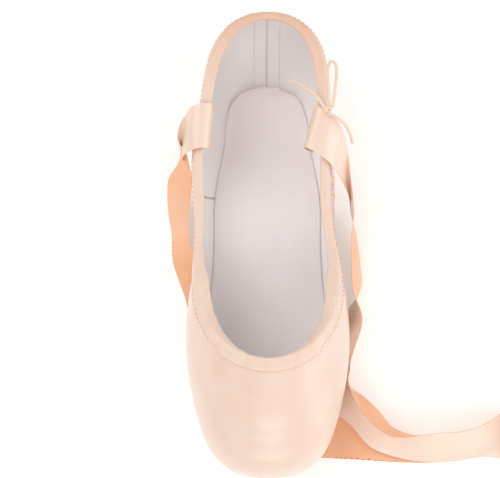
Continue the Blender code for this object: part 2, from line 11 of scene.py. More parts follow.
import bpy
import numpy as np
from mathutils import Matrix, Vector
from mathutils.bvhtree import BVHTree


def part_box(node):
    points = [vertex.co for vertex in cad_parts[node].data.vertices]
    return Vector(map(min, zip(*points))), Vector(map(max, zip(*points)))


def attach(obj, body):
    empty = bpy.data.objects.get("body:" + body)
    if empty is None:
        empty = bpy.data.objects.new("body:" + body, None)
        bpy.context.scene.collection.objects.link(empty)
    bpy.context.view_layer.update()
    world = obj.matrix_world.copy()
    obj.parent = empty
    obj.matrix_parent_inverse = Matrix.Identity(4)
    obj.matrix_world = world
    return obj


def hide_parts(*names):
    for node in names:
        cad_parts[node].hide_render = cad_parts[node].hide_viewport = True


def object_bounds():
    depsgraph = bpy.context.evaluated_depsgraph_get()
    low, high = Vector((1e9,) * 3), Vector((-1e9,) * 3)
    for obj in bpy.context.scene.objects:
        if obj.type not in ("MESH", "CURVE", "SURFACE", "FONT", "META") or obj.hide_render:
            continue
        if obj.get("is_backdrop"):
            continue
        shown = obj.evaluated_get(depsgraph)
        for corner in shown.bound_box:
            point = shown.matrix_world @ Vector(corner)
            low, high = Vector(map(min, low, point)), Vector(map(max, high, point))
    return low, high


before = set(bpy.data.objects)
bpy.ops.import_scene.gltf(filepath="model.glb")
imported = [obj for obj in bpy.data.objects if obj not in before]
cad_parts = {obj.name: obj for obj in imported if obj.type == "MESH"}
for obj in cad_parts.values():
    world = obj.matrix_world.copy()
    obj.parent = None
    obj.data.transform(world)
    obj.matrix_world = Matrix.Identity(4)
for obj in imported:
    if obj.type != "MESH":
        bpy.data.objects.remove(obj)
solids_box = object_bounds()
MM = 0.001
print("solids", sorted(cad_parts))

# %% [markdown]
# ## Camera
#
# The photograph looks down on the shoe from a little in front of its toe. A long lens at 80 cm gives the
# same nearly parallel view. The lens is worked out from how many millimetres one pixel covers.

# %% Camera
VIEW_ANGLE = math.radians(76)
VIEW_DISTANCE = 0.800
VIEW_TARGET = Vector((-0.0043, -0.009, 0.020))
PHOTO_WIDTH = 500
METRES_PER_PIXEL = 0.0005155
SENSOR = 36.0

back = Vector((math.cos(VIEW_ANGLE), 0.0, math.sin(VIEW_ANGLE)))
bpy.ops.object.camera_add(location=VIEW_TARGET + back * VIEW_DISTANCE)
camera = bpy.context.object
camera.name = "camera"
camera.rotation_euler = back.to_track_quat("Z", "Y").to_euler()
camera.data.sensor_fit = "HORIZONTAL"
camera.data.sensor_width = SENSOR
camera.data.lens = SENSOR * VIEW_DISTANCE / METRES_PER_PIXEL / PHOTO_WIDTH
bpy.context.scene.camera = camera
print("lens", round(camera.data.lens, 1))

# %% [markdown]
# ## Materials
#
# Satin has long threads lying side by side, so its face is smooth and throws back a broad soft light,
# while its back is matt and deeper in colour. Cotton is matt with a plain weave. One helper makes all of
# these: patches of two near colours, a fine thread pattern that raises the surface a little, and a darker,
# deeper tone painted in as shade where a piece marks its creases, seams and folds (on the sole, its grain).

# %% Fabric helper
def add_node(tree, kind, inputs=None, **settings):
    made = tree.nodes.new(kind)
    for name, value in settings.items():
        setattr(made, name, value)
    for name, value in (inputs or {}).items():
        made.inputs[name].default_value = value
    return made


def fabric(name, pale, deep, shade_and_grain, roughness, threads, relief, patch=40.0, on_ribbon=False):
    """A cloth: two near colours in patches, a deeper one painted as shade in creases, threads in relief."""
    material = bpy.data.materials.new(name)
    material.use_nodes = True
    tree = material.node_tree
    link = tree.links.new
    shader = tree.nodes["Principled BSDF"]
    place = add_node(tree, "ShaderNodeTexCoord")
    where = place.outputs["UV" if on_ribbon else "Object"]
    patches = add_node(tree, "ShaderNodeTexNoise", {"Scale": patch, "Detail": 3.0, "Roughness": 0.6})
    link(place.outputs["Object"], patches.inputs["Vector"])
    spread = add_node(tree, "ShaderNodeMapRange", {"From Min": 0.3, "From Max": 0.7})
    link(patches.outputs["Fac"], spread.inputs["Value"])
    tones = add_node(tree, "ShaderNodeMix", data_type="RGBA")
    tones.inputs[6].default_value = (*pale, 1.0)
    tones.inputs[7].default_value = (*deep, 1.0)
    link(spread.outputs["Result"], tones.inputs[0])
    # painted shade: a per-point tone mixes the deeper colour in where creases, seams and folds lie in shade;
    # on the sole it is the grain's tone
    shade_and_grain_amount = add_node(tree, "ShaderNodeAttribute", attribute_name="shade_and_grain")
    shaded = add_node(tree, "ShaderNodeMix", data_type="RGBA")
    shaded.inputs[7].default_value = (*shade_and_grain, 1.0)
    link(shade_and_grain_amount.outputs["Fac"], shaded.inputs[0])
    link(tones.outputs[2], shaded.inputs[6])
    link(shaded.outputs[2], shader.inputs["Base Color"])
    stretch = add_node(tree, "ShaderNodeMapping", {"Scale": threads})
    link(where, stretch.inputs["Vector"])
    weave = add_node(tree, "ShaderNodeTexNoise", {"Scale": 1.0, "Detail": 2.0})
    link(stretch.outputs["Vector"], weave.inputs["Vector"])
    rise = add_node(tree, "ShaderNodeBump", {"Strength": 0.5, "Distance": relief})
    link(weave.outputs["Fac"], rise.inputs["Height"])
    link(rise.outputs["Normal"], shader.inputs["Normal"])
    gloss = add_node(tree, "ShaderNodeMapRange", {"To Min": roughness - 0.05, "To Max": roughness + 0.05})
    link(patches.outputs["Fac"], gloss.inputs["Value"])
    link(gloss.outputs["Result"], shader.inputs["Roughness"])
    return material


def finish_shader(material, **sockets):
    """Numbers that are the same all over are set on the shader's own sockets."""
    for name, value in sockets.items():
        material.node_tree.nodes["Principled BSDF"].inputs[name.replace("_", " ")].default_value = value


# %% The shoe's cloths and leather
# Each has its pale and deep colour, a darker one painted as crease shade (the grain's tone on the leather),
# its roughness, how fine its threads are and their relief.
satin = fabric("satin", (0.88, 0.685, 0.575), (0.87, 0.650, 0.535), (0.80, 0.42, 0.25),
               0.33, (900, 2600, 2600), 0.00004)
finish_shader(satin, Specular_IOR_Level=0.75, Sheen_Weight=0.25,
              Sheen_Roughness=0.5, Coat_Weight=0.25, Coat_Roughness=0.35)
casing_satin = fabric("casing_satin", (0.88, 0.685, 0.570), (0.87, 0.650, 0.530), (0.80, 0.42, 0.25),
                      0.45, (1500, 1500, 2600), 0.00005)
finish_shader(casing_satin, Specular_IOR_Level=0.7, Sheen_Weight=0.25, Sheen_Roughness=0.5)
cotton = fabric("lining_cotton", (0.97, 0.93, 0.92), (0.94, 0.90, 0.89), (0.52, 0.45, 0.42),
                0.85, (1600, 1600, 1600), 0.00012)
finish_shader(cotton, Specular_IOR_Level=0.2, Sheen_Weight=0.2)
sock_cloth = fabric("sock_cloth", (0.93, 0.88, 0.885), (0.90, 0.85, 0.85), (0.44, 0.38, 0.36),
                    0.8, (1200, 1200, 1200), 0.00010)
finish_shader(sock_cloth, Specular_IOR_Level=0.25, Sheen_Weight=0.15)
leather = fabric("sole_leather", (0.50, 0.20, 0.075), (0.38, 0.13, 0.045), (0.20, 0.07, 0.03),
                 0.75, (700, 700, 700), 0.00030, patch=160.0)
finish_shader(leather, Specular_IOR_Level=0.3)
ribbon_face = fabric("ribbon_satin_face", (0.93, 0.715, 0.590), (0.92, 0.685, 0.550), (0.80, 0.46, 0.30),
                     0.33, (5200, 90, 1), 0.00003, on_ribbon=True)
finish_shader(ribbon_face, Specular_IOR_Level=0.8, Sheen_Weight=0.2,
              Coat_Weight=0.2, Coat_Roughness=0.4)
ribbon_back = fabric("ribbon_satin_back", (0.96, 0.545, 0.335), (0.95, 0.50, 0.29), (0.76, 0.32, 0.16),
                     0.6, (5200, 90, 1), 0.00005, on_ribbon=True)
finish_shader(ribbon_back, Specular_IOR_Level=0.35, Sheen_Weight=0.15)
cord_cotton = fabric("cord_cotton", (0.93, 0.74, 0.61), (0.90, 0.66, 0.50), (0.75, 0.42, 0.26),
                     0.6, (2600, 2600, 2600), 0.00012)
finish_shader(cord_cotton, Specular_IOR_Level=0.4, Sheen_Weight=0.3)
# painted shade: the lining seams get a darker cotton, for the thin shadow along them
shaded_seam_cotton = fabric("shaded_seam_cotton", (0.62, 0.54, 0.50), (0.55, 0.47, 0.43), (0.40, 0.33, 0.30),
                     0.85, (1600, 1600, 1600), 0.00010)
thread = fabric("sewing_thread", (0.90, 0.56, 0.38), (0.84, 0.46, 0.28), (0.70, 0.30, 0.15),
                0.5, (3000, 3000, 3000), 0.00004)
print("materials", len(bpy.data.materials))

# %% [markdown]
# ## Drawcord
#
# A thin cord runs in the casing round the collar. It comes out on one side, where it is knotted into a
# small bow with one standing loop and two ends. Each length is one smooth curve with a round section,
# so that it keeps an even thickness in its bends.

# %% Smooth curves through short tables
def through(table, steps):
    """Rows of numbers with a smooth curve through them, and so many new rows for each row."""
    rows = np.array(table, dtype=float)
    places = np.concatenate([[0.0], np.cumsum(np.linalg.norm(np.diff(rows[:, :3], axis=0), axis=1))])
    wanted = np.interp(np.arange((len(rows) - 1) * steps + 1) / steps, np.arange(len(rows)), places)
    slopes = np.stack([np.gradient(column, places) for column in rows.T], axis=-1)
    step = np.clip(np.searchsorted(places, wanted) - 1, 0, len(rows) - 2)
    span = (places[step + 1] - places[step])[:, None]
    t = (wanted[:, None] - places[step][:, None]) / span
    before = rows[step] * (2 * t**3 - 3 * t**2 + 1) + slopes[step] * span * (t**3 - 2 * t**2 + t)
    after = rows[step + 1] * (3 * t**2 - 2 * t**3) + slopes[step + 1] * span * (t**3 - t**2)
    return before + after


def length_of(points):
    return float(np.linalg.norm(np.diff(points, axis=0), axis=1).sum())


# %% Cord routes, in millimetres from the knot's middle
low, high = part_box("drawcord_knot")
KNOT = np.array((low + high) / 2)
CORD_DIAMETER = 0.0016
INNER_END = (
    (0.6, 0.6, -0.6), (-1.6, -2.0, 2.0), (-4, -4, 4.6), (-8, -8, 6.4), (-11, -12, 6.2), (-14.5, -16, 4.0),
    (-17, -19.5, 0.5),
)
OUTER_END = (
    (-0.8, -0.8, -0.4), (2.0, 1.8, 0.6), (3.6, 4.6, 1.0), (5.8, 8, -1.0), (8, 10.6, -6.0), (9.4, 12.2, -12.0),
    (9.8, 13.2, -19.0),
)
LOOP = (
    (-2.8, 0.6, 0.8), (-8, 0.2, 4.0), (-15, -0.4, 8.0), (-20, -0.2, 10.0), (-23, 1.4, 10.6),
    (-22, 3.4, 9.8), (-17, 4.0, 8.0), (-10.5, 3.4, 5.2), (-5, 2.8, 2.6), (-1.8, 2.2, 1.2),
)
print("knot at", KNOT.round(4).tolist())


# %% Make the cords
def make_cord(name, route, node):
    points = through(route, 4) * MM + KNOT
    line = bpy.data.curves.new(name, "CURVE")
    line.dimensions = "3D"
    line.bevel_depth = CORD_DIAMETER / 2
    line.bevel_resolution = 4
    line.use_fill_caps = True
    spline = line.splines.new("POLY")
    spline.points.add(len(points) - 1)
    for point, place in zip(spline.points, points):
        point.co = (*place, 1.0)
    line.materials.append(cord_cotton)
    piece = bpy.data.objects.new(name, line)
    bpy.context.collection.objects.link(piece)
    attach(piece, "root")
    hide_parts(node)
    print(name, round(length_of(points) * 1000, 1), "mm")
    return piece, points


loop, loop_points = make_cord("cord_loop", LOOP, "drawcord_loop")
inner_end, inner_points = make_cord("cord_inner_end", INNER_END, "drawcord_inner_end")
outer_end, outer_points = make_cord("cord_outer_end", OUTER_END, "drawcord_outer_end")

# %% [markdown]
# The knot is tied from the same cord. A trefoil, the path that a simple knot follows when its ends are
# joined, is squashed a little and made as thick as the cord.

# %% Tie the knot
def select_only(*pieces):
    bpy.ops.object.select_all(action="DESELECT")
    for piece in pieces:
        piece.select_set(True)
    bpy.context.view_layer.objects.active = pieces[0]


KNOT_SIZE = 0.00078
line = bpy.data.curves.new("cord_knot", "CURVE")
line.dimensions = "3D"
line.bevel_depth = CORD_DIAMETER / 2
line.bevel_resolution = 3
spline = line.splines.new("POLY")
turns = np.linspace(0, 2 * math.pi, 60, endpoint=False)
spline.points.add(len(turns) - 1)
for point, turn in zip(spline.points, turns):
    along_shoe = math.sin(turn) + 2 * math.sin(2 * turn)
    upwards = math.cos(turn) - 2 * math.cos(2 * turn)
    sideways = -1.3 * math.sin(3 * turn)
    place = Vector((along_shoe, sideways, upwards)) * KNOT_SIZE
    point.co = (*(Vector(KNOT) + place), 1.0)
spline.use_cyclic_u = True
knot = bpy.data.objects.new("cord_knot", line)
bpy.context.collection.objects.link(knot)
select_only(knot)
bpy.ops.object.convert(target="MESH")
knot.data.materials.clear()
knot.data.materials.append(cord_cotton)
bpy.ops.object.shade_smooth()
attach(knot, "root")
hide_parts("drawcord_knot")
print("knot", len(knot.data.polygons), "faces")

# %% [markdown]
# ## Floor and light
#
# The photograph is a bright cut-out with almost no shadow. A pale floor that glows a little, a pale sky
# and three large soft lamps come near to that: one high on the side without the bow, one before the toe,
# which also lights the inside of the heel, and a low one on the side with the bow.

# %% Floor
bpy.ops.object.select_all(action="DESELECT")
bpy.ops.mesh.primitive_plane_add(size=8.0, location=(0.0, 0.0, 0.0))
floor = bpy.context.object
floor.name = "floor"
paper = bpy.data.materials.new("floor_paper")
paper.use_nodes = True
finish_shader(paper, Base_Color=(0.93, 0.93, 0.925, 1.0), Roughness=0.9)
finish_shader(paper, Emission_Color=(1.0, 1.0, 1.0, 1.0), Emission_Strength=0.25)
floor.data.materials.append(paper)
floor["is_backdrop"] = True

# %% Lamps and sky
# name, place, size, watts
LAMPS = (
    ("key_lamp", (-0.25, -0.75, 1.15), 1.1, 6.0),
    ("toe_lamp", (1.00, 0.10, 0.75), 0.9, 3.3),
    ("bow_side_lamp", (0.15, 0.90, 0.45), 0.8, 3.0),
)
for name, place, size, watts in LAMPS:
    bpy.ops.object.light_add(type="AREA", location=place)
    lamp = bpy.context.object
    lamp.name = name
    lamp.data.shape = "DISK"
    lamp.data.size = size
    lamp.data.energy = watts
    lamp.rotation_euler = Vector(place).to_track_quat("Z", "Y").to_euler()
sky = bpy.data.worlds.new("studio")
sky.use_nodes = True
sky.node_tree.nodes["Background"].inputs["Color"].default_value = (1.0, 0.985, 0.97, 1.0)
sky.node_tree.nodes["Background"].inputs["Strength"].default_value = 0.56
bpy.context.scene.world = sky
bpy.context.scene.view_settings.view_transform = "Standard"
bpy.context.scene.view_settings.look = "None"
print("lamps", len(LAMPS))

# %% [markdown]
# ## Upper
#
# The upper is satin outside and cotton inside over a stiff box. Its solid already has the right form, so
# a copy is merged, turned into quads and smoothed with Subdivision Surface. Then the places with fine
# folds are cut finer, and every fold is laid as a soft trough or ridge along a line.

# %% Copy a solid and make it fine
def select_faces(piece, test):
    """Selects the faces whose middle and normal pass a test, and leaves edit mode open."""
    select_only(piece)
    bpy.ops.object.mode_set(mode="EDIT")
    bpy.ops.mesh.select_mode(type="FACE")
    bpy.ops.mesh.select_all(action="DESELECT")
    bpy.ops.object.mode_set(mode="OBJECT")
    for face in piece.data.polygons:
        face.select = bool(test(face.center, face.normal))
    bpy.ops.object.mode_set(mode="EDIT")


def fine_copy(node, name, levels):
    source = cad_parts[node]
    piece = bpy.data.objects.new(name, source.data.copy())
    bpy.context.collection.objects.link(piece)
    select_only(piece)
    piece.data.materials.clear()
    if piece.data.has_custom_normals:
        bpy.ops.mesh.customdata_custom_splitnormals_clear()
    bpy.ops.object.mode_set(mode="EDIT")
    bpy.ops.mesh.select_all(action="SELECT")
    bpy.ops.mesh.remove_doubles(threshold=0.000002)
    bpy.ops.mesh.tris_convert_to_quads(face_threshold=math.radians(60), shape_threshold=math.radians(75))
    bpy.ops.mesh.faces_shade_smooth()
    bpy.ops.mesh.mark_sharp(clear=True)
    bpy.ops.object.mode_set(mode="OBJECT")
    smoother = piece.modifiers.new("smooth", "SUBSURF")
    smoother.levels = levels
    smoother.render_levels = levels
    bpy.ops.object.modifier_apply(modifier=smoother.name)
    return piece


upper = fine_copy("upper", "upper_satin", 2)
print("upper", len(upper.data.polygons), "faces")


# %% Tell the outside from the inside
CORE_BACK = -0.078
CORE_FRONT = 0.024
CORE_HEIGHT = 0.020


def core_of(place):
    """The nearest point of a line that runs inside the shoe."""
    return Vector((min(max(place[0], CORE_BACK), CORE_FRONT), 0.0, CORE_HEIGHT))


def faces_out(centre, normal):
    return (centre - core_of(centre)).dot(normal) > 0


SEAM_TOP = -0.029
SEAM_FOOT = -0.035
SEAM_LOW = 0.008
SEAM_RISE = 0.026


def seam_x(z):
    """Where the side seam runs: a little further back at the sole than at the collar."""
    return SEAM_FOOT + (SEAM_TOP - SEAM_FOOT) * np.clip((z - SEAM_LOW) / SEAM_RISE, 0.0, 1.0)


def is_folded(centre, normal):
    """Places with seams, puckers or pleats, which need a finer mesh."""
    if not faces_out(centre, normal):
        return False
    toe = centre.x > 0.080 and centre.z < 0.016
    side = abs(centre.x - seam_x(centre.z)) < 0.005 and abs(centre.y) > 0.02
    heel = centre.x < -0.095 and abs(centre.y) < 0.005
    waist = -0.062 < centre.x < 0.020 and centre.z < 0.018 and abs(centre.y) > 0.014
    return toe or side or heel or waist


select_faces(upper, is_folded)
bpy.ops.mesh.subdivide(number_cuts=2, smoothness=0.0)
bpy.ops.object.mode_set(mode="OBJECT")
print("with finer places", len(upper.data.polygons), "faces")

# %% [markdown]
# The table of folds is in the shoe's own millimetres: where a fold starts and ends, how wide it is, and
# how far it stands out, or in where the number is below zero. Each fold fades at its two ends.

# %% Folds, from x y z to x y z, width, height
FOLDS = (
    # puckers above the sole at the waist
    (-54, 22, 7, -50, 31, 17, 1.6, -0.55), (-48, 21, 9, -45, 31, 19, 1.8, 0.50),
    (-42, 20, 10, -41, 30, 18, 1.6, -0.60), (-26, 20, 11, -27, 32, 20, 2.0, -0.60),
    (-19, 21, 11, -21, 32, 18, 1.6, 0.50), (-12, 21, 10, -15, 33, 19, 1.8, -0.60),
    (-4, 22, 9, -7, 34, 17, 1.6, 0.50), (4, 24, 8, 0, 35, 16, 1.8, -0.55), (12, 26, 6, 9, 36, 14, 1.6, -0.45),
    (-56, -22, 7, -52, -31, 18, 1.8, -0.55), (-49, -21, 9, -47, -31, 17, 1.6, 0.45),
    (-43, -20, 10, -40, -31, 19, 1.8, -0.60), (-25, -20, 11, -28, -32, 19, 1.8, -0.60),
    (-17, -21, 11, -19, -33, 20, 1.8, 0.50), (-10, -21, 10, -14, -33, 18, 1.8, -0.55),
    (-2, -22, 9, -5, -34, 18, 1.8, 0.50), (6, -24, 8, 2, -36, 15, 1.6, -0.55),
    # the soft cloth ends and the stiff box begins
    (16, 30, 42, 8, 41, 16, 5.0, -0.50), (16, -30, 42, 8, -42, 16, 5.0, -0.50),
    (34, 27, 50, 26, 42, 24, 6.0, 0.35), (34, -27, 50, 26, -42, 24, 6.0, 0.35),
    # the vamp is drawn towards the casing
    (58, 20, 55, 72, 26, 44, 4.0, -0.30), (58, -20, 55, 72, -26, 44, 4.0, -0.30),
    (66, 6, 56, 84, 9, 49, 5.0, 0.25), (66, -8, 56, 82, -12, 49, 5.0, -0.25),
    # the quarters have a slow wave below the collar
    (-66, 34, 40, -44, 35, 27, 6.0, -0.45), (-66, -36, 40, -46, -37, 25, 6.0, -0.45),
    (-20, 35, 32, 4, 37, 24, 6.0, 0.40), (-18, -38, 32, 4, -39, 24, 6.0, 0.40),
    # the heel's cloth is eased in under the back seam
    (-112, 9, 22, -104, 12, 8, 3.0, -0.40), (-112, -9, 22, -104, -12, 8, 3.0, -0.40),
    (-108, 18, 20, -100, 18, 8, 2.6, 0.35), (-108, -18, 20, -100, -18, 8, 2.6, 0.35),
)


def lay_folds(places, folds):
    """How far each point moves out for the folds near it."""
    moved = np.zeros(len(places))
    for fold in folds:
        start, end = np.array(fold[:3]) * MM, np.array(fold[3:6]) * MM
        width, height = fold[6] * MM, fold[7] * MM
        way = end - start
        share = np.clip((places - start) @ way / (way @ way), 0.0, 1.0)
        gap = np.linalg.norm(places - start - share[:, None] * way, axis=1)
        fade = np.sin(math.pi * np.clip(share, 0.03, 0.97)) ** 0.5
        moved += height * fade * np.exp(-((gap / width) ** 2))
    return moved


def points_of(piece):
    places = np.empty(len(piece.data.vertices) * 3)
    normals = np.empty_like(places)
    piece.data.vertices.foreach_get("co", places)
    piece.data.vertices.foreach_get("normal", normals)
    return places.reshape(-1, 3), normals.reshape(-1, 3)


def set_points(piece, places, shade_and_grain_tones=None):
    piece.data.vertices.foreach_set("co", places.ravel())
    # the tone written here is painted shade in creases and seams, or the grain's tone on the sole
    if shade_and_grain_tones is not None:
        tone = piece.data.attributes.get("shade_and_grain") or piece.data.attributes.new("shade_and_grain", "FLOAT", "POINT")
        tone.data.foreach_set("value", np.clip(shade_and_grain_tones, 0.0, 1.0))
    piece.data.update()


# %% Seams and pleats of the upper
SEAM_WIDTH = 0.0007
SEAM_DEPTH = 0.00045
SEAM_SHADE = 0.8
PLEATS = 15
PLEAT_HEIGHT = 0.0011
PLEAT_SHADE = 0.75
PLEAT_MIDDLE = 0.052        # the pleats point to this place under the toe
PLEAT_SPREAD = 0.50         # in radians, to each side
PLEAT_TOP = 0.0165
PLEAT_FRONT = 0.112
SOLE_FRONT = 0.088
FOLD_SHADE = 0.25


def groove(distance, width):
    """A narrow groove with a soft lip on each side."""
    lips = np.exp(-(((np.abs(distance) - 2.2 * width) / width) ** 2))
    return np.exp(-((distance / width) ** 2)) - 0.35 * lips


places, normals = points_of(upper)
cores = np.zeros_like(places)
cores[:, 0] = np.clip(places[:, 0], CORE_BACK, CORE_FRONT)
cores[:, 2] = CORE_HEIGHT
outside = np.clip(((places - cores) * normals).sum(axis=1) / 0.004, 0.0, 1.0)
x, y, z = places.T
folded = lay_folds(places, FOLDS)
on_side = (np.abs(y) > 0.018) * np.clip((z - 0.007) / 0.004, 0.0, 1.0)
on_heel = (x < -0.09) * np.clip((z - 0.006) / 0.004, 0.0, 1.0)
seams = groove(x - seam_x(z), SEAM_WIDTH) * on_side + groove(y, SEAM_WIDTH) * on_heel
before_sole = np.clip((x - SOLE_FRONT) / 0.006, 0.0, 1.0)
behind_front = np.clip((PLEAT_FRONT + 0.004 - x) / 0.010, 0.0, 1.0)
under_toe = before_sole * behind_front * np.clip((PLEAT_TOP - z) / 0.004, 0.0, 1.0)
spread = np.arctan2(y, x - PLEAT_MIDDLE) / PLEAT_SPREAD * PLEATS / 2
pleat = np.abs(np.sin(math.pi * (spread + 0.18 * np.sin(2.3 * spread)))) ** 0.7
moved = folded - SEAM_DEPTH * seams + PLEAT_HEIGHT * under_toe * (pleat - 0.6)
# painted shade: the seams' grooves, the pleats' troughs under the toe and the inward folds are darkened
shade_and_grain_tones = SEAM_SHADE * np.clip(seams, 0, 1) + PLEAT_SHADE * under_toe * (1.0 - pleat) ** 1.5
shade_and_grain_tones += np.clip(-folded / 0.0020, 0.0, FOLD_SHADE)
set_points(upper, places + normals * (moved * outside)[:, None], shade_and_grain_tones * outside)
print("folds", len(FOLDS), "pleats", PLEATS)

# %% Satin outside, cotton inside
upper.data.materials.append(satin)
upper.data.materials.append(cotton)
for face in upper.data.polygons:
    face.material_index = 0 if faces_out(face.center, face.normal) else 1
select_only(upper)
bpy.ops.object.shade_smooth()
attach(upper, "root")
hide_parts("upper")
print("lining faces", sum(face.material_index for face in upper.data.polygons))

# %% [markdown]
# ## Casing round the collar
#
# A bias-cut strip of the same satin is folded over the collar's edge and makes the tunnel for the
# drawcord. It is a little gathered by its row of stitches, so short soft puckers cross it.

# %% Casing
casing = fine_copy("collar_binding", "collar_casing", 2)
PUCKER_HEIGHT = 0.00010
PUCKER_SHADE = 0.12
HEEL_SHADE = 0.55            # painted shade: a deeper peach round the heel, for the shade and bounced light there
places, normals = points_of(casing)
x, y, z = places.T
way_round = np.arctan2(y, x + 0.020)
long_puckers = np.sin(way_round * 61 + 1.3 * np.sin(way_round * 7))
short_puckers = np.sin(way_round * 104 + 2.0 * np.sin(way_round * 5))
puckers = long_puckers * 0.6 + short_puckers * 0.4
places = places + normals * (PUCKER_HEIGHT * puckers)[:, None]
round_heel = np.clip((-0.070 - x) / 0.035, 0, 1)
# painted shade in the troughs of the puckers and round the heel
set_points(casing, places, PUCKER_SHADE * np.clip(-puckers, 0, 1) + HEEL_SHADE * round_heel)
casing.data.materials.append(casing_satin)
select_only(casing)
bpy.ops.object.shade_smooth()
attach(casing, "root")
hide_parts("collar_binding")
print("casing", len(casing.data.polygons), "faces")

# %% [markdown]
# ## Stitches
#
# Stitches are short bits of thread that dip into the cloth at both ends. Rays shot at the shoe from
# outside find where they lie, so that every row follows the real surface.

# %% Follow a surface with rays
def surface_of(piece):
    corners = [vert.co.copy() for vert in piece.data.vertices]
    return BVHTree.FromPolygons(corners, [tuple(face.vertices) for face in piece.data.polygons])


upper_skin = surface_of(upper)
casing_skin = surface_of(casing)


def stations():
    """Feet and angles of upright half planes round the whole shoe."""
    toe = [(CORE_FRONT, angle) for angle in np.arange(-90, 90.1, 3.0)]
    side = [(x, 90.0) for x in np.arange(0.020, -0.077, -0.004)]
    heel = [(CORE_BACK, angle) for angle in np.arange(90, 270.1, 4.0)]
    other = [(x, 270.0) for x in np.arange(-0.074, 0.021, 0.004)]
    return toe + side + heel + other


def row_above_edge(skin, above):
    """Points on the casing a little above its lower edge, with their normals."""
    route = []
    for foot, angle in stations():
        flat = (math.cos(math.radians(angle)), math.sin(math.radians(angle)))
        core = Vector((foot, 0.0, CORE_HEIGHT))
        first = None
        for lift in np.radians(np.arange(0.0, 70.0, 0.25)):
            heading = Vector((flat[0] * math.cos(lift), flat[1] * math.cos(lift), math.sin(lift)))
            place, normal, face, distance = skin.ray_cast(core + heading * 0.20, -heading, 0.20)
            if place is None:
                continue
            if first is None:
                first = place
            if (place - first).length >= above:
                route.append((place, normal))
                break
    return route


def thread_row(name, routes, pitch, stitch, thickness, material, closed=False):
    """Short stitches along routes of points and normals, as one mesh."""
    line = bpy.data.curves.new(name, "CURVE")
    line.dimensions = "3D"
    line.bevel_depth = thickness / 2
    line.bevel_resolution = 1
    line.use_fill_caps = True
    count = 0
    for route in routes:
        places = np.array([place for place, normal in route])
        rises = np.array([normal for place, normal in route])
        if closed:
            places = np.vstack([places, places[:1]])
            rises = np.vstack([rises, rises[:1]])
        run = np.concatenate([[0.0], np.cumsum(np.linalg.norm(np.diff(places, axis=0), axis=1))])
        for start in np.arange(0.0, run[-1] - stitch, pitch):
            spline = line.splines.new("POLY")
            spline.points.add(3)
            for point, share, proud in zip(spline.points, (0.0, 0.25, 0.75, 1.0), (-0.5, 0.35, 0.35, -0.5)):
                at = start + stitch * share
                place = np.array([np.interp(at, run, places[:, axis]) for axis in range(3)])
                rise = np.array([np.interp(at, run, rises[:, axis]) for axis in range(3)])
                point.co = (*(place + rise / np.linalg.norm(rise) * proud * thickness), 1.0)
            count += 1
    row = bpy.data.objects.new(name, line)
    bpy.context.collection.objects.link(row)
    select_only(row)
    bpy.ops.object.convert(target="MESH")
    row.data.materials.clear()
    row.data.materials.append(material)
    bpy.ops.object.shade_smooth()
    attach(row, "root")
    print(name, count, "stitches")
    return row


STITCH_PITCH = 0.0026
STITCH_LENGTH = 0.0017
EDGE_MARGIN = 0.0012
casing_row = row_above_edge(casing_skin, EDGE_MARGIN)
thread_row("casing_stitches", [casing_row], STITCH_PITCH, STITCH_LENGTH, 0.00036, thread, closed=True)

# %% [markdown]
# The side seams join the heel part to the front part. Each is top-stitched with one row on either side,
# about 5 mm from it, which also holds the lining.

# %% Top-stitching beside the side seams
def side_row(side, offset):
    route = []
    for z in np.arange(0.034, 0.010, -0.0008):
        start = Vector((seam_x(z) + offset, side * 0.10, z))
        place, normal, face, distance = upper_skin.ray_cast(start, Vector((0.0, -side, 0.0)), 0.09)
        covered = casing_skin.ray_cast(start, Vector((0.0, -side, 0.0)), 0.09)[0]
        if place is not None and covered is None:
            route.append((place, normal))
    return route


BESIDE_SEAM = 0.005
rows = [side_row(side, offset) for side in (-1, 1) for offset in (-BESIDE_SEAM, BESIDE_SEAM)]
rows = [row for row in rows if len(row) > 3]
thread_row("side_stitches", rows, STITCH_PITCH, STITCH_LENGTH, 0.00034, thread)

# %% [markdown]
# ## Lining
#
# Inside, the cotton lining has a tape over the back seam and a seam on each side. The tape is a thin
# strip that follows the heel's inside from the casing down to the sock.

# %% Tape over the back seam
TAPE_WIDTH = 0.0135
TAPE_ROWS = 40
TAPE_COLUMNS = 21
TAPE_CORE = (-0.082, 0.027)  # x and z inside the heel, from where the rays go out
TAPE_ABOVE = 0.00025
sock_skin = surface_of(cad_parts["insole"])


def heel_line(sideways):
    """Points from the casing down to the sock at one distance from the shoe's middle."""
    line = []
    for lift in np.radians(np.arange(58.0, -80.0, -1.0)):
        start = Vector((TAPE_CORE[0], sideways, TAPE_CORE[1]))
        heading = Vector((-math.cos(lift), 0.0, math.sin(lift)))
        place, normal, face, distance = upper_skin.ray_cast(start, heading, 0.06)
        if place is None and not line:
            continue
        if place is None or sock_skin.ray_cast(start, heading, 0.06)[0] is not None:
            break
        line.append(place + normal * TAPE_ABOVE)
    return np.array(line)


bpy.ops.object.select_all(action="DESELECT")
bpy.ops.mesh.primitive_grid_add(x_subdivisions=TAPE_ROWS - 1, y_subdivisions=TAPE_COLUMNS - 1, size=1.0)
tape = bpy.context.object
tape.name = "back_lining_tape"
places, unused = points_of(tape)
laid = places.copy()
for sideways in np.unique(places[:, 1].round(5)):
    column = np.abs(places[:, 1] - sideways) < 0.001
    line = heel_line(TAPE_WIDTH * sideways)
    at = (0.5 - places[column, 0]) * (len(line) - 1)
    for axis in range(3):
        laid[column, axis] = np.interp(at, np.arange(len(line)), line[:, axis])
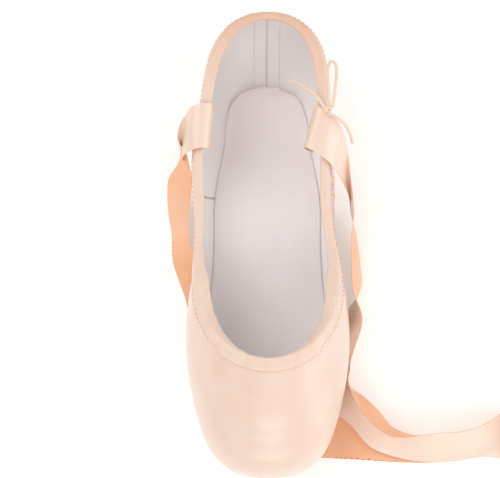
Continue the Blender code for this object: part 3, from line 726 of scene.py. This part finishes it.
# painted shade: a narrow darker line down the tape's middle, for the shade in its middle groove
middle_groove_shade = np.exp(-((places[:, 1] * TAPE_WIDTH / 0.0005) ** 2))
set_points(tape, laid, middle_groove_shade * 0.6)
print("tape ends at", laid[places[:, 0] < -0.49].mean(axis=0).round(4).tolist())
wall = tape.modifiers.new("thickness", "SOLIDIFY")
wall.thickness = 0.0002
wall.offset = 0.0
select_only(tape)
bpy.ops.object.modifier_apply(modifier=wall.name)
tape.data.materials.append(cotton)
bpy.ops.object.shade_smooth()
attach(tape, "root")
print("tape", len(tape.data.polygons), "faces")


# %% Seams of the lining
def inside_row(side, x):
    route = []
    for z in np.arange(0.044, 0.013, -0.0008):
        start = Vector((x, side * 0.010, z))
        place, normal, face, distance = upper_skin.ray_cast(start, Vector((0.0, side, 0.0)), 0.06)
        covered = casing_skin.ray_cast(start, Vector((0.0, side, 0.0)), 0.06)[0]
        if place is not None and (covered is None or (covered - place).length < 0.0002):
            route.append((place, normal))
    return route


def seam_cord(name, routes, radius, material):
    """A thin raised line along each route, sunk halfway into the cloth."""
    line = bpy.data.curves.new(name, "CURVE")
    line.dimensions = "3D"
    line.bevel_depth = radius
    line.bevel_resolution = 2
    line.use_fill_caps = True
    for route in routes:
        spline = line.splines.new("POLY")
        spline.points.add(len(route) - 1)
        for point, (place, normal) in zip(spline.points, route):
            point.co = (*(Vector(place) - Vector(normal) * radius * 0.3), 1.0)
    seam = bpy.data.objects.new(name, line)
    bpy.context.collection.objects.link(seam)
    select_only(seam)
    bpy.ops.object.convert(target="MESH")
    seam.data.materials.clear()
    seam.data.materials.append(material)
    bpy.ops.object.shade_smooth()
    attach(seam, "root")
    return seam


LINING_SEAM = -0.0275
lining_rows = [inside_row(side, LINING_SEAM) for side in (-1, 1)]
lining_rows = [row for row in lining_rows if len(row) > 3]
# the darker cotton of these seams is painted shade
seam_cord("lining_seams", lining_rows, 0.0006, shaded_seam_cotton)
print("lining seams", [len(row) for row in lining_rows])

# %% [markdown]
# ## Sock and sole
#
# The sock is a soft board covered in cotton. It lies flat in the shoe, and its edge stands a little away
# from the lining, which leaves the thin dark line round it. The place of its stamped word is left bare.

# %% Sock
SOCK_BACK = -0.058          # behind this the sock is a little longer and wider, and its end turns up
SOCK_LONGER = 0.0032
SOCK_WIDER = 0.10
SOCK_TURNED_UP = 0.0012
sock = fine_copy("insole", "insole_sock", 2)
places, unused = points_of(sock)
far_back = np.clip((SOCK_BACK - places[:, 0]) / 0.024, 0.0, 1.0)
places[:, 0] -= SOCK_LONGER * far_back
places[:, 1] *= 1.0 + SOCK_WIDER * far_back
places[:, 2] += SOCK_TURNED_UP * far_back**2
set_points(sock, places)
sock.data.materials.append(sock_cloth)
select_only(sock)
bpy.ops.object.shade_smooth()
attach(sock, "root")
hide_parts("insole")
print("sock", len(sock.data.polygons), "faces")

# %% Outsole
GRAIN_HEIGHT = 0.00006
sole = fine_copy("outsole", "outsole_leather", 2)
places, normals = points_of(sole)
rough = np.sin(places[:, 0] * 610 + 3 * np.sin(places[:, 1] * 400)) * np.sin(places[:, 1] * 530)
places = places + normals * (GRAIN_HEIGHT * rough)[:, None]
places[:, 2] = np.maximum(places[:, 2], 0.0)
set_points(sole, places, 0.3 * np.clip(rough, 0, 1))
sole.data.materials.append(leather)
select_only(sole)
bpy.ops.object.shade_smooth_by_angle(angle=math.radians(50))
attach(sole, "root")
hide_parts("outsole")
print("sole", len(sole.data.polygons), "faces")

# %% [markdown]
# ## Ribbons
#
# Each ribbon is a flat band of satin, shiny on its face and matt on its back. It is sewn inside the
# quarter, comes up over the collar, twists once and lies along the side. A short table gives its middle,
# the way across it, how much of its width shows, how much it is hollowed, and how far one edge is turned
# over. A grid is laid through the table and given its thickness. The spare length past the photograph's
# edge is folded to and fro.

# %% Ribbon tables: middle x y z, across x y z, share, hollow, turned edge in degrees
PLAIN_RIBBON = (
    (-59, -28.2, 37.0, 22, -1, -6, 0.9, 0.0, 0),
    (-56, -28.4, 45.5, 22, -2, -6, 0.9, 0.0, 0),
    (-55, -29.4, 52.2, 22, -2, -6, 0.9, 0.0, 0),
    (-54.5, -33.8, 54.2, 22, -2, -6, 0.9, 0.0, 0),
    (-53.5, -39.0, 51.4, 21, -2, -7, 0.92, 0.4, 0),
    (-51.5, -42.4, 45.4, 19, -2, -9, 0.9, 0.4, 0),
    (-47.5, -43.6, 37.6, 7, 4, -18, 0.85, 0.2, 0),
    (-41, -45.8, 29.5, 4, -8.4, -18, 0.88, 0.0, 0),
    (-33, -45.6, 21.5, 0, -12, -19, 1.0, -0.6, 0),
    (-22, -46.0, 15.6, -1, -11, -20, 1.0, -1.0, 0),
    (-10, -45.4, 12.4, -2, -8, -19, 1.0, -0.8, 0),
    (3, -43.6, 7.0, -1, -10, -8, 0.6, -0.4, 0),
    (15, -39.2, 2.2, 0, -14, -2, 0.52, 0.0, 0),
    (28, -35.2, 1.2, 0, -10, 0, 0.5, 0.0, 0),
    (42, -34.4, 0.8, 0, -10, 0, 0.5, 0.0, 0),
    (57, -33.6, 0.7, 1, -10, 0, 0.5, 0.0, 0),
    (72, -29.0, 0.9, 4, -10, 0, 0.7, 0.0, 0),
    (86, -20.0, 2.0, 7, -7, 0, 0.9, 0.0, 0),
    (95, -9.0, 3.2, 10, -2, 0, 1.0, 0.0, 0),
    (96, 8.0, 3.2, 10, -1, 0, 1.0, 0.0, 0),
    (94.5, 28.0, 2.4, 10, -1, 0, 0.95, 0.0, 0),
    (97.5, 44.0, 1.4, 10, -2, 0, 0.75, 0.0, 0),
    (101, 62.0, 0.9, 10, -2, 0, 0.55, 0.0, 0),
    (102, 84.0, 0.7, 10, 0, 0, 0.5, 0.0, 0),
    (100, 102.0, 0.6, 10, 1, 0, 0.5, 0.0, 0),
    (96, 122.0, 0.6, 10, 1, 0, 0.55, 0.0, 0),
)
BOW_RIBBON = (
    (-56, 23.2, 38.0, 19, 0, -4, 0.82, 0.0, 0),
    (-55.5, 21.8, 44.5, 19, -3, -5, 0.85, 0.0, 0),
    (-55, 20.8, 50.0, 19, -5, -6, 0.86, 0.0, 0),
    (-54, 22.2, 53.4, 20, -6, -6, 0.86, 0.0, 0),
    (-51, 27.4, 53.8, 21, -4, -6, 0.88, 0.0, 0),
    (-46.5, 33.6, 50.6, 22, -1, -8, 0.96, 0.6, 0),
    (-41, 38.2, 42.8, 21, 0, -13, 1.0, 0.8, 0),
    (-37, 40.6, 36.0, 20, 1, -15, 1.0, 0.5, 0),
    (-29.5, 42.6, 26.5, 10, 1, -18, 0.9, 0.0, 0),
    (-19, 44.2, 17.5, -5, 0, -23, 1.0, 0.0, 0),
    (-7, 45.0, 15.0, -5, 4, -23, 1.0, 0.3, 0),
    (7, 45.8, 13.6, -4, 5.5, -22, 1.0, 0.6, 0),
    (21, 46.0, 13.2, -4, 4.5, -20, 1.0, 0.6, 0),
    (35, 43.4, 9.8, -3, -8, -16, 0.85, 0.4, 0),
    (48, 37.8, 4.2, -1, -16, -6, 0.66, 0.4, 0),
    (60, 36.0, 2.6, 1, -17, -2, 0.58, 0.0, 20),
    (70, 38.6, 6.2, 5, -14, -4, 0.7, 0.6, 70),
    (79, 44.8, 11.2, 8, -15, -10, 0.95, 2.0, 120),
    (86, 51.0, 13.6, 8, -14, -15, 1.0, 2.6, 130),
    (95.5, 59.0, 13.6, 8, -11, -14, 1.0, 2.2, 90),
    (100, 71.0, 13.0, 8, -8, -13, 1.0, 1.6, 30),
    (102, 84.0, 12.0, 8, -4, -13.5, 1.0, 1.2, 0),
    (101, 98.0, 11.4, 8, -3, -12.5, 1.0, 0.8, 0),
    (96.5, 113.0, 8.6, 10.5, -2, -10, 1.0, 0.4, 0),
    (93.5, 124.0, 4.0, 16, 0, -3, 1.0, 0.0, 0),
)
RIBBON_WIDTH = 0.025
RIBBON_THICKNESS = 0.00035


def with_tail(table, length, climb, runs):
    """The ribbon's spare length, folded to and fro where its table ends, in millimetres."""
    rows = list(table)
    x, y, z, *rest = rows[-1]
    for run in range(runs):
        way = 1 if run % 2 == 0 else -1
        start, finish = (y, y + length)[::way]
        level = z + run * climb
        if run:
            rows.append((x, start, level, *rest))
        rows.append((x, start + way * 3.0, level, *rest))
        rows.append((x, finish - way * 3.0, level, *rest))
        rows.append((x, finish, level, *rest))
        if run < runs - 1:
            rows.append((x, finish + way * abs(climb) / 2, level + climb / 2, *rest))
    return rows


# %% Lay a grid through a table
RIBBON_COLUMNS = 61
RIBBON_STEPS = 6
TURNED_FROM = 0.42          # in half widths from the middle: past this the edge is turned over
GATHERED = 0.86             # a narrower share is folded lengthwise, with the rest of the width under it
FOLD_HEIGHT = 0.0005


def across_band(part, share, turn):
    """Where a point of the band's width lies: sideways in half widths, under it, and lifted off it."""
    hidden = np.clip(GATHERED - share, 0.0, GATHERED / 2)
    reach = np.where(hidden > 0, GATHERED, share)
    edge = reach - 2 * hidden
    fold_at = edge / reach
    gaps = RIBBON_COLUMNS - 1
    near = 2 * np.rint((fold_at + 1) / 2 * gaps) / gaps - 1
    before = -1 + (part + 1) * (fold_at + 1) / (near + 1)
    after = fold_at + (part - near) * (1 - fold_at) / np.maximum(1 - near, 0.01)
    sideways = np.where(part <= near, before, after) * reach
    folded = np.clip(sideways - edge, 0.0, None)
    sideways = np.where(folded > 0, 2 * edge - sideways, sideways) + hidden
    under = np.clip(folded / 0.08, 0.0, 1.0)
    turned_from = -TURNED_FROM * reach + hidden
    past = np.clip(turned_from - sideways, 0.0, None) * (turn > 0.01)
    sideways = np.where(past > 0, turned_from - past * np.cos(turn), sideways)
    return sideways, under, past * np.sin(turn)


def make_ribbon(name, table, node, cloths):
    """cloths are those of the band's two sides, first the one that its rows' normals point to."""
    rows = through(table, RIBBON_STEPS)
    middles = rows[:, :3] * MM
    across = rows[:, 3:6] / np.linalg.norm(rows[:, 3:6], axis=1)[:, None]
    ways = np.gradient(middles, axis=0)
    normals = np.cross(ways, across)
    normals /= np.linalg.norm(normals, axis=1)[:, None]
    bpy.ops.object.select_all(action="DESELECT")
    gaps = RIBBON_COLUMNS - 1
    bpy.ops.mesh.primitive_grid_add(x_subdivisions=len(rows) - 1, y_subdivisions=gaps, size=1.0)
    ribbon = bpy.context.object
    ribbon.name = name
    places, unused = points_of(ribbon)
    number = np.rint((places[:, 0] + 0.5) * (len(rows) - 1)).astype(int)
    part = 2 * np.rint((places[:, 1] + 0.5) * gaps) / gaps - 1
    sideways, under, lifted = across_band(part, rows[number, 6], np.radians(rows[number, 8]))
    hollow = rows[number, 7] * MM * (1.0 - np.clip(sideways, -1, 1) ** 2)
    rise = hollow + under * FOLD_HEIGHT - lifted * RIBBON_WIDTH / 2
    laid = middles[number] + across[number] * (sideways * RIBBON_WIDTH / 2)[:, None]
    laid += normals[number] * rise[:, None]
    laid[:, 2] = np.maximum(laid[:, 2], RIBBON_THICKNESS * 0.6)
    set_points(ribbon, laid)
    wall = ribbon.modifiers.new("thickness", "SOLIDIFY")
    wall.thickness = RIBBON_THICKNESS
    wall.offset = 0.0
    wall.use_even_offset = False
    wall.material_offset = 1
    wall.material_offset_rim = 0
    select_only(ribbon)
    for cloth in cloths:
        ribbon.data.materials.append(cloth)
    bpy.ops.object.modifier_apply(modifier=wall.name)
    bpy.ops.object.shade_smooth_by_angle(angle=math.radians(60))
    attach(ribbon, "root")
    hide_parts(node)


plain_table = with_tail(PLAIN_RIBBON, length=60.0, climb=0.5, runs=3)
bow_table = with_tail(BOW_RIBBON, length=64.0, climb=1.6, runs=4)
make_ribbon("ribbon_plain", plain_table, "ribbon_plain_side", (ribbon_face, ribbon_back))
make_ribbon("ribbon_bow", bow_table, "ribbon_bow_side", (ribbon_back, ribbon_face))

# %% [markdown]
# ## Sizes
#
# The sizes of the solids and of the dressed shoe are printed side by side. The dressed
# shoe has to keep the solids' size.

# %% Sizes
dressed_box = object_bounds()
for label, box in (("solids", solids_box), ("dressed", dressed_box)):
    print(label, [round((high - low) * 1000, 1) for low, high in zip(*box)])
